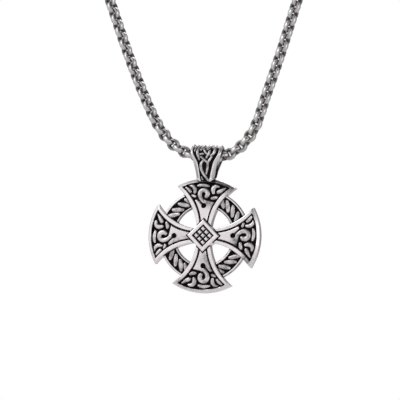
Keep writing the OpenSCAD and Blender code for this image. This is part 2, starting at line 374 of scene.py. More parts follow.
# %% The ornament of one arm
TONGUE = [[-5, 1.5], [-5, 9.6], [-3.1, 10.05], [-2.55, 10.3], [-2.05, 10.2], [-1.45, 9.62],
          [-0.98, 9.08], [-0.4, 8.5], [-0.3, 9.3], [-0.3, 10.5], [0.15, 10.24], [0.7, 10.08],
          [1.4, 9.95], [2.6, 9.68], [5, 8.9], [5, 1.5]]
SCROLL = [(0.1, 9.15, 0.9, 0.75), (-0.55, 9.75, 1.1, 0.85), (-1.05, 10.35, 1.2, 0.85),
          (-1.45, 11.0, 1.3, 0.85), (-1.6, 11.8, 1.4, 0.85), (-1.28, 12.58, 1.4, 0.85),
          (-0.5, 12.93, 1.4, 0.85), (0.27, 12.65, 1.45, 0.85), (0.6, 12.0, 1.5, 0.85),
          (0.58, 11.4, 1.35, 0.85), (0.34, 11.08, 1.2, 0.8)]
LEAVES = {
    "bar_over_scroll": [(-2.25, 14.15, 0.7, 0.7), (-1.5, 14.32, 1.05, 0.75),
                        (-0.6, 14.38, 1.12, 0.75), (0.25, 14.28, 1.08, 0.75),
                        (0.85, 14.12, 0.8, 0.7)],
    "left_leaf": [(-5.9, 13.65, 0.5, 0.7), (-5.35, 13.3, 0.95, 0.75), (-4.8, 12.8, 1.12, 0.75),
                  (-4.4, 12.4, 0.95, 0.7)],
    "left_comma": [(-4.75, 14.12, 0.45, 0.65), (-4.2, 14.12, 0.85, 0.75),
                   (-3.6, 13.85, 1.15, 0.75), (-3.15, 13.25, 1.25, 0.75),
                   (-3.05, 12.6, 1.1, 0.75), (-3.12, 12.15, 0.85, 0.7)],
    "left_bud": [(-3.75, 11.32, 0.85, 0.65), (-2.98, 11.08, 0.95, 0.7)],
    "right_hook": [(3.75, 14.0, 0.65, 0.7), (3.25, 14.12, 1.05, 0.75), (2.75, 14.05, 1.25, 0.75),
                   (2.28, 13.6, 1.4, 0.75), (2.12, 12.95, 1.35, 0.75), (2.28, 12.2, 1.0, 0.7)],
    "right_leaf": [(5.6, 13.68, 0.4, 0.65), (4.9, 13.15, 0.95, 0.75), (4.2, 12.72, 1.25, 0.75),
                   (3.65, 12.42, 1.2, 0.7)],
    "right_bud": [(2.0, 10.62, 1.0, 0.7), (2.6, 10.68, 1.18, 0.7), (3.3, 10.92, 0.95, 0.7)]}
DOT = (-0.22, 8.5)
DOT_R = 0.66
TONGUE_GAP, TONGUE_RISE, TONGUE_ROUND = 0.2, 0.8, 0.4


def tongue_edge(x, z):
    """Distance inside the smooth tongue, which keeps a narrow gap from the frame."""
    return np.minimum(field_edge(x, z) - TONGUE_GAP, inside_of(x, z, TONGUE))


def arm_ornament(x, z):
    """Height of the highest of tongue, scroll and leaves over the ground."""
    height = TONGUE_RISE * shoulder(tongue_edge(x, z), TONGUE_ROUND)
    height = np.maximum(height, strand(x, z, SCROLL))
    dot = np.hypot(x - DOT[0], z - DOT[1])
    height = height * smooth_step(DOT_R - 0.15, DOT_R + 0.12, dot)
    for leaf in LEAVES.values():
        height = np.maximum(height, strand(x, z, leaf))
    return height * smooth_step(0.0, 0.3, field_edge(x, z))


print("leaves", len(LEAVES), "points round the tongue", len(TONGUE))

# %% The grid of an arm
ARM_ROWS, ARM_COLS = 210, 200
FRAME_ROUND = 0.22
EDGE_DROP, EDGE_ROUND = 0.25, 0.28
SLOPE_START, SLOPE_DROP = 0.25, 0.8
GROOVE_DEPTH = 0.35

outwards = np.linspace(0, 1, ARM_ROWS)[:, None]
across = np.linspace(-1, 1, ARM_COLS)[None, :]
edge_z = ARM_START + (TIP - ARM_START) * outwards
half = arm_half_width(edge_z)
arm_x = across * half
# Rows start straight at the boss and bend, by the square of the way out, into the end's arc
arc_rise = np.sqrt(CROSS_R ** 2 - arm_x ** 2) - np.sqrt(CROSS_R ** 2 - half ** 2)
arm_z = edge_z + outwards ** 2 * arc_rise

in_field = field_edge(arm_x, arm_z)
ornament = arm_ornament(arm_x, arm_z)
frame_height = RELIEF * shoulder(-in_field, FRAME_ROUND)
frame_height -= EDGE_DROP * (1 - shoulder(arm_edge(arm_x, arm_z), EDGE_ROUND))
from_hub = np.hypot(arm_x, arm_z)
end_slope = np.clip(from_hub - (CROSS_R - END_BAND) - SLOPE_START, 0, 1)
frame_height -= SLOPE_DROP * end_slope
arm_height = np.where(in_field > 0, ornament, frame_height)
# A fine groove sets the boss off from the arms
beside_boss = (np.abs(arm_x) + np.abs(arm_z)) / np.sqrt(2) - BOSS_HALF
arm_height -= GROOVE_DEPTH * (1 - smooth_step(0.15, 0.4, beside_boss))
arm_depth = crown(arm_x, arm_z) - RELIEF + arm_height
print("arm depths", arm_depth.min(), "to", arm_depth.max(), "mm")

# %% How far the polishing reached on an arm, and where shade is painted on it
NAMES = ["top", "right", "bottom", "left"]
# Painted shade on each tongue: how dark, on which side, and from how far out
TONGUE_SHADE = {"top": (0.6, 1, 6.8), "right": (0.68, 1, 7.0), "bottom": (0.5, -1, 3.5),
               "left": (0.34, -1, 2.5)}
ORNAMENT_DULL = {"top": 0.37, "right": 0.31, "bottom": 0.33, "left": 0.22}
# How much shade is painted on each arm's far end
TIP_SHADE = {"top": 0.55, "right": 0.15, "bottom": 0.15, "left": 0.0}
# How much darker the frame's side is made towards its right tip
SIDE_DARKER = {"top": 0.3, "right": 0.6, "bottom": 0.3, "left": 0.0}
# Middle and darkness of the shadow painted round the bail's foot
FOOT_MIDDLE, FOOT_SHADOW = 0.3, 0.8

arm_polish = np.where(in_field > 0, smooth_step(0.25, 0.74, ornament),
                      smooth_step(0.0, 0.16, -in_field))
arm_polish *= smooth_step(0.2, 0.36, beside_boss)
on_tongue = (in_field > 0) & (tongue_edge(arm_x, arm_z) > 0)
# Shade is painted on the frame's far end, most at its right tip, but not along the outermost edge
tip = (0.4 + 0.6 * smooth_step(0.4, 2.6, arm_x)) * smooth_step(13.0, 15.2, from_hub)
tip *= smooth_step(0.15, 0.4, CROSS_R - from_hub) * (in_field <= 0)
# On the upper arm a shadow of the bail's foot is painted black on the band round it
foot_shadow = 1 - smooth_step(2.1, 2.9, np.abs(arm_x - FOOT_MIDDLE))
foot_shadow *= smooth_step(14.75, 15.0, from_hub)
side_tip = smooth_step(11.8, 13.6, from_hub) * (1 - smooth_step(15.0, 15.5, from_hub))
side_tip *= (arm_x > 0) * (in_field <= 0)
print("share of the arm that shines", np.mean(arm_polish > 0.5))

# %% The four castings of the arms
BEND_ALL, BEND_TIP = 0.005, 0.022
TONGUE_LEAST = 0.04
SHADE_LONG, SHADE_HALF = 2.8, 2.2

# Each arm's end turns a hair about the centre, most at its right tip, as on the carved original
bent = smooth_step(6, 15, arm_z) * (BEND_ALL + BEND_TIP * np.clip(across, 0, 1) ** 2)

for quarter, name in enumerate(NAMES):
    turn = np.radians(90 * quarter)
    x = arm_x * np.cos(turn + bent) + arm_z * np.sin(turn + bent)
    z = arm_z * np.cos(turn + bent) - arm_x * np.sin(turn + bent)
    # Shade is painted on the tongue, darker towards one side and further out
    most, side, start = TONGUE_SHADE[name]
    shade = smooth_step(start, start + SHADE_LONG, arm_z)
    shade = shade * smooth_step(-SHADE_HALF, SHADE_HALF, side * arm_x)
    dullness_and_shade = np.where(on_tongue, TONGUE_LEAST + most * shade,
                    ORNAMENT_DULL[name] * (in_field > 0))
    # The arm's polish is lowered where shade is painted: tongue, far end and round the bail's foot
    arm_polish_and_shade = arm_polish * (1 - dullness_and_shade) * (1 - TIP_SHADE[name] * tip)
    arm_polish_and_shade = arm_polish_and_shade * (1 - SIDE_DARKER[name] * side_tip)
    if name == "top":
        arm_polish_and_shade = arm_polish_and_shade * (1 - FOOT_SHADOW * foot_shadow)
    points, faces, shine = plaque(x, z, arm_depth, BACK, arm_polish_and_shade)
    add_piece(f"cross_arm_{name}", points, faces, shine, "pendant", silver,
              ["cross"])

# %% [markdown]
# ## The ring
#
# The ring passes behind the arms. Two rims stand on it, and between them short twisted bars lean
# like the strands of a rope. The bars lie at two sets of angles, one after the upright arms and
# one after the level arms. A grid in angle and radius bends round to close on itself, and its
# columns are crowded into the four stretches that show between the arms.

# %% The bars of the rope
ROPE_R = 10.67
ROPE_LEAN = np.radians(45)
ROPE_HALF, ROPE_RISE = 1.4, 0.8
ROPE_WIDTHS = [1.0, 1.37, 1.37, 1.0]
ROPE_AFTER_UPRIGHT = [27.0, 37.3, 48.3, 59.8]
ROPE_AFTER_LEVEL = [32.4, 42.5, 54.3, 65.0]


def rope_bars(x, z):
    """Height of the leaning bars: each is turned by the lean, against the clock, from the line
    through the centre."""
    height = np.zeros(x.shape)
    for quarter in range(4):
        for angle in (ROPE_AFTER_LEVEL if quarter % 2 else ROPE_AFTER_UPRIGHT):
            place = np.radians(90 * quarter + angle)
            lean = place - ROPE_LEAN
            centre = ROPE_R * np.array([np.sin(place), np.cos(place)])
            reach = ROPE_HALF * np.array([np.sin(lean), np.cos(lean)])
            steps = np.linspace(-1, 1, len(ROPE_WIDTHS))
            line = [(*(centre + step * reach), width, ROPE_RISE)
                    for step, width in zip(steps, ROPE_WIDTHS)]
            height = np.maximum(height, strand(x, z, line))
    return height


print("bars in the ring", 2 * (len(ROPE_AFTER_UPRIGHT) + len(ROPE_AFTER_LEVEL)))

# %% The front of the ring
RING_OUT, RING_IN = 13.05, 8.22
RIM_OUT, RIM_IN = 12.38, 8.98
RIM_RISE, RIM_ROUND, RIM_EDGE_ROUND = 0.9, 0.15, 0.3
STEP_DROP = 0.18
RING_FRONT = 1.5
# Degrees from each arm's middle: close columns where the ring shows, six wide ones under the arm
RING_ROWS, RING_COLS = 64, 240
SHOWN_FROM, SHOWN_TO, HIDDEN_COLS = 19, 71, 6

shown = np.linspace(SHOWN_FROM, SHOWN_TO, RING_COLS)
hidden = np.linspace(SHOWN_TO + 2, SHOWN_FROM + 88, HIDDEN_COLS)
quarter_angles = np.concatenate([shown, hidden])
angles = np.radians(np.concatenate([quarter_angles + 90 * k for k in range(4)]))[None, :]
radii = np.linspace(RING_IN, RING_OUT, RING_ROWS)[:, None]
ring_x, ring_z = radii * np.sin(angles), radii * np.cos(angles)
rope = rope_bars(ring_x, ring_z)
rope = rope * smooth_step(0.12, 0.28, np.minimum(RIM_OUT - radii, radii - RIM_IN))
ring_edge = np.minimum(RING_OUT - radii, radii - RING_IN)
rims = RIM_RISE * shoulder(np.maximum(radii - RIM_OUT, RIM_IN - radii), RIM_ROUND)
rims = rims - EDGE_DROP * (1 - shoulder(ring_edge, RIM_EDGE_ROUND))
rims = rims - STEP_DROP * smooth_step(RIM_IN - 0.36, RIM_IN - 0.44, radii)
is_rim = (radii > RIM_OUT) | (radii < RIM_IN)
ring_height = np.where(is_rim, rims, rope)
ring_depth = RING_FRONT - RIM_RISE + ring_height
print("ring depths", ring_depth.min(), "to", ring_depth.max(), "mm")

# %% How far the polishing reached on the ring
ROPE_POLISH = 0.62
EDGE_GREY, STEP_GREY = 0.5, 0.6
STEP_LINE, STEP_LINE_HALF = 0.46, 0.1

beside_arm = np.full(ring_x.shape, -np.inf)
for quarter in range(4):
    turn = np.radians(90 * quarter)
    local_x = ring_x * np.cos(turn) - ring_z * np.sin(turn)
    local_z = ring_z * np.cos(turn) + ring_x * np.sin(turn)
    beside_arm = np.maximum(beside_arm, arm_edge(local_x, local_z))
ring_polish = np.where(is_rim, smooth_step(0.0, 0.1, rims - 0.3),
                       ROPE_POLISH * smooth_step(0.2, 0.7, rope))
ring_polish = ring_polish * smooth_step(0.08, 0.4, -beside_arm)
# Thin grey lines: both edges of the ring, and the step inside the inner rim
ring_polish = ring_polish * (1 - EDGE_GREY * (1 - smooth_step(0.08, 0.28, ring_edge)))
from_step = (radii - RIM_IN + STEP_LINE) / STEP_LINE_HALF
ring_polish = ring_polish * (1 - STEP_GREY * np.exp(-from_step ** 2))
print("share of the ring that shines", np.mean(ring_polish > 0.5))

# %% The ring closed round its back
RING_BACK = -0.4
# The inner wall leans back a little, as the side of a casting does to leave its mould
BACK_IN = RING_IN + 0.25

flat_radii = np.array([RING_OUT, RING_OUT - 0.1, RING_OUT - 0.4,
                       BACK_IN + 0.4, BACK_IN + 0.1, BACK_IN])[:, None]
flat_depth = RING_BACK + np.array([0.4, 0.1, 0, 0, 0.1, 0.4])[:, None]
front_points = in_frame(ring_x, ring_z, ring_depth)
back_points = in_frame(flat_radii * np.sin(angles), flat_radii * np.cos(angles), flat_depth)
ring_points = np.concatenate([front_points, back_points])
ring_faces = grid_faces(*ring_points.shape[:2], wrap_rows=True, wrap_cols=True).tolist()
ring_shine = np.concatenate([ring_polish, np.ones((len(flat_radii), angles.size))])
add_piece("cross_ring", ring_points, ring_faces, ring_shine, "pendant", silver,
          ["cross"])

# %% [markdown]
# ## The boss
#
# A square boss set on its corner covers the place where the arms meet. Its border is a plain
# polished band, and the panel inside is filled with nine plain studs. The grid is turned by 45
# degrees too, so that its rows follow the border.

# %% The boss with its studs
BOSS_BORDER, BORDER_RISE, BORDER_ROUND = 1.12, 0.6, 0.2
BOSS_FRONT = 2.85
BOSS_PAST_BACK = 0.05
BOSS_COLS = 132
STUD_PITCH, STUD_SIZE, STUD_RISE, STUD_ROUND = 1.36, 1.12, 0.5, 0.3
STUD_POLISH = 0.85


def studs(p, q):
    """Height of nine square studs with soft shoulders: in each cell of the lattice, the distance
    inside the cell's own square."""
    from_middle = np.maximum(np.abs((p / STUD_PITCH + 0.5) % 1 - 0.5),
                             np.abs((q / STUD_PITCH + 0.5) % 1 - 0.5)) * STUD_PITCH
    within = np.maximum(np.abs(p), np.abs(q)) < 1.5 * STUD_PITCH
    return STUD_RISE * shoulder(STUD_SIZE / 2 - from_middle, STUD_ROUND) * within


steps = np.linspace(-BOSS_HALF, BOSS_HALF, BOSS_COLS)
boss_p, boss_q = np.meshgrid(steps, steps)
boss_edge = BOSS_HALF - np.maximum(np.abs(boss_p), np.abs(boss_q))
border = BORDER_RISE * shoulder(BOSS_BORDER - boss_edge, BORDER_ROUND)
border = border - EDGE_DROP * (1 - shoulder(boss_edge, RIM_EDGE_ROUND))
panel = studs(boss_p, boss_q)
boss_height = np.where(boss_edge < BOSS_BORDER, border, panel)
boss_polish = np.where(boss_edge < BOSS_BORDER, smooth_step(0.0, 0.1, BOSS_BORDER - boss_edge),
                       STUD_POLISH * smooth_step(0.22, 0.4, panel))
points, faces, shine = plaque((boss_p - boss_q) / np.sqrt(2), (boss_p + boss_q) / np.sqrt(2),
                              BOSS_FRONT - BORDER_RISE + boss_height, BACK - BOSS_PAST_BACK,
                              boss_polish, back_round=0)
add_piece("cross_boss", points, faces, shine, "pendant", silver, ["cross"])

# %% [markdown]
# ## The bail
#
# The bail is a strap bent over the chain. It is widest over the crown and draws in to a foot that
# sits on the upper arm. Its flanks fall back more and more towards the foot, so the lower part
# is keel shaped, and knotwork fills the sunk field between two borders. One grid runs along the
# strap and across it: the outer sheet carries the relief, the inner sheet lies under it.

# %% The strap's line
CROWN_R = 3.45
FOOT_Z, FOOT_DEPTH = -7.3, 3.1
LEG_ROWS, BEND_ROWS, BACK_LEG_ROWS = 110, 80, 40

leg = np.linspace(0, 1, LEG_ROWS, endpoint=False)
bend = np.linspace(0, np.pi, BEND_ROWS, endpoint=False)
back_leg = np.linspace(0, 1, BACK_LEG_ROWS)
line_depth = np.concatenate([FOOT_DEPTH + (CROWN_R - FOOT_DEPTH) * leg, CROWN_R * np.cos(bend),
                             -CROWN_R + (CROWN_R - FOOT_DEPTH) * back_leg])
line_z = np.concatenate([FOOT_Z * (1 - leg), CROWN_R * np.sin(bend), FOOT_Z * back_leg])
run_depth, run_z = np.gradient(line_depth), np.gradient(line_z)
run = np.hypot(run_depth, run_z)
out_depth, out_z = run_z / run, -run_depth / run
strap_s = np.concatenate([[0], np.cumsum(np.hypot(np.diff(line_depth), np.diff(line_z)))])
print("strap length", strap_s[-1], "mm, rows", len(strap_s))

# %% The strap's width and its flanks
# Along the strap from the front foot: half width, field's half width and drop of the flanks
SHAPE = through([
    # along   half   field  drop
    (0.0, 1.75, 1.1, 0.35),
    (0.35, 2.15, 1.15, 0.4),
    (0.7, 2.6, 1.25, 0.6),
    (1.0, 2.8, 1.35, 1.6),
    (1.3, 2.92, 1.42, 2.2),
    (2.5, 3.15, 1.6, 2.2),
    (4.0, 3.43, 1.9, 1.8),
    (5.4, 3.77, 2.25, 1.3),
    (6.6, 4.03, 2.85, 0.6),
    (7.7, 4.35, 3.45, 0.3),
    (8.8, 4.5, 3.7, 0.28),
    (12.5, 4.5, 3.7, 0.55),
    (16.4, 4.45, 3.65, 0.55),
    (17.8, 4.2, 3.4, 0.4),
    (20.0, 3.25, 2.4, 0.2),
    (22.5, 2.35, 1.5, 0.2),
    (24.9, 1.7, 0.9, 0.2)], steps=8)
half_w, field_w, drop = (np.interp(strap_s, SHAPE[:, 0], SHAPE[:, k])[:, None] for k in (1, 2, 3))
print("strap's widest place", 2 * half_w.max(), "mm")

# %% [markdown]
# The knotwork is drawn on the strap laid flat, with x across and the second number along the
# strap from the front foot. Strands that pass under another are cut short, as on the casting.

# %% The knotwork of the bail
KNOT = {
    "oval_left": [(-0.75, 5.75, 0.7, 0.4), (-1.3, 4.85, 0.85, 0.45), (-1.25, 3.75, 0.9, 0.45),
                  (-0.7, 2.5, 0.9, 0.45), (0.12, 1.35, 0.88, 0.45), (1.0, 0.35, 0.8, 0.4)],
    "oval_right": [(-1.2, 6.85, 0.75, 0.42), (-0.23, 6.0, 0.85, 0.45), (0.6, 5.35, 0.85, 0.45),
                   (0.68, 4.35, 0.82, 0.45), (0.57, 3.2, 0.8, 0.42), (0.38, 2.1, 0.5, 0.35)],
    "right_branch": [(1.75, 6.95, 0.7, 0.4), (1.2, 6.1, 0.8, 0.42), (0.8, 5.45, 0.7, 0.4)],
    "left_sweep": [(-1.7, 11.4, 0.6, 0.38), (-2.06, 10.5, 0.8, 0.42), (-2.35, 9.2, 0.9, 0.45),
                   (-2.42, 8.1, 0.92, 0.45), (-2.18, 7.1, 0.85, 0.42), (-1.8, 6.1, 0.55, 0.35)],
    "right_sweep": [(2.3, 12.0, 0.8, 0.4), (2.35, 11.0, 0.88, 0.44), (2.55, 9.3, 0.92, 0.45),
                    (2.25, 7.95, 0.9, 0.44), (1.5, 7.35, 0.7, 0.4)],
    "knot_down": [(-0.65, 9.5, 0.7, 0.4), (-0.23, 8.57, 0.85, 0.44), (0.25, 7.95, 0.75, 0.42)],
    "knot_up": [(1.1, 8.9, 0.7, 0.4), (0.75, 7.6, 0.82, 0.44), (0.28, 6.75, 0.75, 0.42)],
    "knot_bud": [(-1.5, 7.7, 0.8, 0.4), (-0.8, 7.9, 0.8, 0.4)],
    "foot_bud": [(-1.0, 1.15, 0.5, 0.35), (-0.65, 0.5, 0.6, 0.38)],
    "crown_outer_left": [(-2.75, 12.2, 0.7, 0.4), (-2.95, 10.6, 0.75, 0.42),
                         (-3.15, 9.5, 0.6, 0.4), (-3.3, 8.6, 0.4, 0.35)],
    "crown_left": [(-1.1, 12.6, 1.2, 0.44), (-1.2, 11.4, 1.2, 0.44), (-1.2, 10.3, 1.0, 0.44),
                   (-1.45, 9.2, 0.7, 0.4)],
    "crown_right": [(0.9, 12.6, 1.3, 0.44), (0.95, 11.4, 1.3, 0.44), (0.75, 10.3, 1.1, 0.44),
                    (0.3, 9.4, 0.6, 0.4)]}
print("strands in the knot", len(KNOT))

# %% The outer and inner sheets of the strap
BAIL_COLS = 120
CROWN_TOP_S = 12.5
PLAIN_FROM, PLAIN_TO = 16.0, 16.6
STRAP, BAIL_RISE = 1.05, 0.5
FLAT_BORDER = 0.28
KEEL_FREE = 0.35
FOOT_LONG, FOOT_THIN = 2, 0.25

across_bail = np.linspace(-1, 1, BAIL_COLS)[None, :]
bail_x = across_bail * half_w
# Behind the crown the front's knotwork is repeated, mirrored about the top of the crown
along = np.minimum(strap_s, 2 * CROWN_TOP_S - strap_s)[:, None]
knot = np.zeros(bail_x.shape)
for line in KNOT.values():
    knot = np.maximum(knot, strand(bail_x, along, line, power=2.2))
past_field = np.abs(bail_x) - field_w
plain_back = smooth_step(PLAIN_FROM, PLAIN_TO, strap_s)[:, None]
border = BAIL_RISE * shoulder(past_field, 0.18)
border = border - 0.2 * (1 - shoulder(half_w - np.abs(bail_x), 0.2))
knot_field = np.where(past_field > 0, border, knot)
bail_height = (1 - plain_back) * knot_field + plain_back * BAIL_RISE
slope = np.clip((past_field - FLAT_BORDER) / (half_w - field_w - FLAT_BORDER), 0, 1)
fall = drop * slope ** 1.2
outer = bail_height - BAIL_RISE - fall
# Where the flanks fall far the inner sheet sinks with them, and at the foot the strap is thinner
inner = -STRAP + FOOT_THIN * (strap_s < FOOT_LONG)[:, None] - np.maximum(fall - KEEL_FREE, 0)
print("knot height", knot.max(), "mm, flanks fall", fall.max(), "mm")

# %% How far the polishing reached on the bail, and where shade is painted on it
BORDER_POLISH = 0.93
STRAND_POLISH, CROWN_MORE = 0.6, 0.22
CROWN_GROUND = 0.55
INSIDE_POLISH, UNDER_RIM_MORE = 0.03, 0.4

strand_polish = STRAND_POLISH + CROWN_MORE * smooth_step(9.5, 12, along)
knot_polish_and_shade = np.where(past_field > 0, BORDER_POLISH * smooth_step(0.0, 0.1, past_field),
                       strand_polish * smooth_step(0.18, 0.34, knot))
# Over the crown's top the sunk ground is lighter too
knot_polish_and_shade = np.maximum(knot_polish_and_shade, CROWN_GROUND * smooth_step(9.7, 11.4, along))
# Shade is painted black along the right flank's outer edge, where it falls back steeply
shaded_flank_edge = 1 - smooth_step(0.3, 0.55, half_w - bail_x)
knot_polish_and_shade = knot_polish_and_shade * (1 - shaded_flank_edge * smooth_step(0.8, 2, drop))
bail_polish_and_shade = (1 - plain_back) * knot_polish_and_shade + plain_back
# The inner sheet is black but for a grey rim under either side of the crown
under_rim = (1 - smooth_step(0.3, 1.2, half_w - np.abs(bail_x))) * smooth_step(9, 11, along)
inner_polish = INSIDE_POLISH + UNDER_RIM_MORE * under_rim[:, ::-1]
print("share of the bail's front that shines", np.mean(bail_polish_and_shade > 0.5))


# %% The bail's closed sheet
def on_strap(offset, x):
    """Point of the frame at x across the strap and the offset outwards from its line."""
    depth = line_depth[:, None] + offset * out_depth[:, None]
    z = HANG_HEIGHT + line_z[:, None] + offset * out_z[:, None]
    return in_frame(x, z, depth)


# Columns run over the outer sheet and back under the inner one, so they close round the strap
sheet = np.concatenate([on_strap(outer, bail_x), on_strap(inner, bail_x)[:, ::-1]], axis=1)
faces = grid_faces(*sheet.shape[:2], wrap_cols=True)
cols = sheet.shape[1]
lid = np.arange(BAIL_COLS - 1)
first_lid = np.stack([lid, cols - 1 - lid, cols - 2 - lid, lid + 1], -1)
last_lid = first_lid[:, ::-1] + (len(strap_s) - 1) * cols
bail_shine = np.concatenate([bail_polish_and_shade, inner_polish], axis=1)
all_faces = np.concatenate([faces, first_lid, last_lid]).tolist()
add_piece("bail_strap", sheet, all_faces, bail_shine, "pendant", silver,
          ["bail"])

# %% [markdown]
# ## The chain
#
# A round box chain is made of short links bent from half-round strip, each turned a quarter turn
# from its neighbours. Every link could be its own object, but three hundred objects are slow to
# handle, so one link's points are computed once and carried along the chain as one big array.
# The links stand at an angle to the view, so that each shows two faces; beside the bail the chain
# is twisted a little, and every other link there shows its hole.

# %% The chain's route and its moving axes
LEFT_ROUTE = [
    (-3, -104, -200.9), (-6.3, -104, -200.0), (-10.8, -104, -197.2), (-15, -104, -192.1),
    (-19, -104, -184.6), (-24, -104, -173.3), (-30, -104, -158), (-36, -104, -141.5),
    (-41.5, -103, -124), (-47, -100, -105), (-52, -94, -86), (-56, -84.5, -67.5),
    (-58.2, -71, -50), (-58.8, -55, -34.5), (-56, -38, -22), (-49.5, -22, -13),
    (-38.5, -8, -6.5), (-25, 0.5, -2), (-11.4, 2.5, 0)]
RIGHT_ROUTE = [
    (3, -104, -201), (6, -104, -200.3), (10.1, -104, -197.3), (13.4, -104, -192.2),
    (16.2, -104, -183.3), (20, -104, -171), (24.5, -104, -155), (29.5, -104, -138),
    (35.5, -103, -120.5), (42, -100, -102), (48.5, -94, -83.5), (54, -84.5, -65.5),
    (57.5, -71, -49), (58.8, -55, -34), (56, -38, -22), (49.5, -22, -13),
    (38.5, -8, -6.5), (25, 0.5, -2), (11.4, 2.5, 0)]
FACING = np.array([0.22, -0.97, 0.0])

route = through(LEFT_ROUTE[::-1] + [tuple(HANG)] + RIGHT_ROUTE, steps=40)
route_s = np.concatenate([[0], np.cumsum(np.linalg.norm(np.diff(route, axis=0), axis=1))])
print("chain length", route_s[-1], "mm")

# %% Where each link stands and how it is turned
LINK_LONG, LINK_WIDE = 3.68, 3.55
STRIP_THICK, STRIP_WIDE = 0.87, 1.6
TURN_AT_BAIL, TURN_ABOVE = 20, 45
TWIST_FROM, TWIST_TO = 10, 24
HALF_STEP = 0.9

pitch = LINK_LONG - 2 * STRIP_THICK
link_count = int(round(route_s[-1] / pitch)) + 1
link_s = np.linspace(0, route_s[-1], link_count)
middle_s = route_s[np.argmin(np.linalg.norm(route - HANG, axis=1))]


def unit(vectors):
    """Vectors of length one."""
    return vectors / np.linalg.norm(vectors, axis=-1, keepdims=True)


def at(s):
    """Points of the route at distances along it."""
    return np.stack([np.interp(s, route_s, route[:, k]) for k in range(3)], -1)


centre = at(link_s)
# A link points from a little before it on the route to a little after it
forward = unit(at(link_s + HALF_STEP) - at(link_s - HALF_STEP))
away = unit(FACING - (forward @ FACING)[:, None] * forward)
aside = np.cross(forward, away)
from_bail = np.abs(link_s - middle_s)
untwisted = smooth_step(TWIST_FROM, TWIST_TO, from_bail)
link_turn = TURN_AT_BAIL + (TURN_ABOVE - TURN_AT_BAIL) * untwisted
link_turn = np.where(link_s < middle_s, 90 - link_turn, link_turn)
twist = np.radians(link_turn + 90 * (np.arange(link_count) % 2))
in_plane = np.cos(twist)[:, None] * aside + np.sin(twist)[:, None] * away
normal = np.cross(forward, in_plane)
print("links", link_count, "pitch", route_s[-1] / (link_count - 1), "mm")

# %% One link carried to every place
LINK_POINTS = 12
ROUNDNESS = 2.3
STRIP_SHARP = np.radians(75)
# Links as near to the middle of the route as this pass through the bail
BAIL_REACH = 4


def link_loop(half_long, half_wide):
    """Centre line of a link, |x/a|^n + |y/b|^n = 1 with n the roundness, and its outward
    direction: the gradient of that sum, made one long."""
    angle = 2 * np.pi * (np.arange(LINK_POINTS) + 0.5) / LINK_POINTS
    c, s = np.cos(angle), np.sin(angle)
    size = (np.abs(c) ** ROUNDNESS + np.abs(s) ** ROUNDNESS) ** (-1 / ROUNDNESS)
    line = np.stack([half_long * size * c, half_wide * size * s], -1)
    out = np.stack([np.sign(c) * np.abs(size * c) ** (ROUNDNESS - 1) / half_long,
                    np.sign(s) * np.abs(size * s) ** (ROUNDNESS - 1) / half_wide], -1)
    return line, unit(out)


loop, loop_out = link_loop((LINK_LONG - STRIP_THICK) / 2, (LINK_WIDE - STRIP_THICK) / 2)
# Section of the strip in its own thickness and width, and its painted shade: the domed outer
# face is bright, the sides and the inner face dark where one link shades the next
SECTION = np.array([[0.0, -0.5, 0.25], [0.45, -0.28, 1.0], [0.45, 0.28, 1.0], [0.0, 0.5, 0.25],
                    [-0.5, 0.38, 0.05], [-0.5, -0.38, 0.05]])
loop_point = loop[:, None, :] + STRIP_THICK * SECTION[None, :, :1] * loop_out[:, None, :]
side_step = np.broadcast_to(SECTION[None, :, 1:2] * STRIP_WIDE, (len(loop), len(SECTION), 1))
one_link = np.concatenate([loop_point, side_step], -1).reshape(-1, 3)
link_axes = np.stack([forward, in_plane, normal], 1)
link_points = centre[:, None, :] + one_link @ link_axes
one_faces = grid_faces(len(loop), len(SECTION), wrap_rows=True, wrap_cols=True)[:, ::-1]
one_link_shade = np.tile(SECTION[:, 2], len(loop))

CHAIN_PARTS = {"chain_links_left": link_s < middle_s - BAIL_REACH,
               "chain_links_bail": from_bail <= BAIL_REACH,
               "chain_links_right": link_s > middle_s + BAIL_REACH}
for name, chosen in CHAIN_PARTS.items():
    count = chosen.sum()
    first = np.arange(count)[:, None, None] * len(one_link)
    faces = (one_faces[None] + first).reshape(-1, 4).tolist()
    add_piece(name, link_points[chosen] * MM, faces, np.tile(one_link_shade, count), "necklace",
              steel, ["chain"], sharp_angle=STRIP_SHARP)

# %% [markdown]
# ## The fastening
#
# At the nape two small rings join the chain's last links to a plain hook clasp. Their shapes in
# the frame are exact already, so they stay, and only take the steel finish. They have no polish
# numbers, so their steel is a plain one, nearly as bright.

# %% Steel for the rings and the clasp
FASTENING = ["end_link_left", "end_link_right", "ring_left", "ring_right", "clasp"]
BRUSH_SCALE, BRUSH_DETAIL = 900, 5
DULL_STEEL, BRIGHT_STEEL = (0.5, 0.5, 0.49, 1), (0.66, 0.66, 0.65, 1)
SMOOTHEST, ROUGHEST = 0.2, 0.34


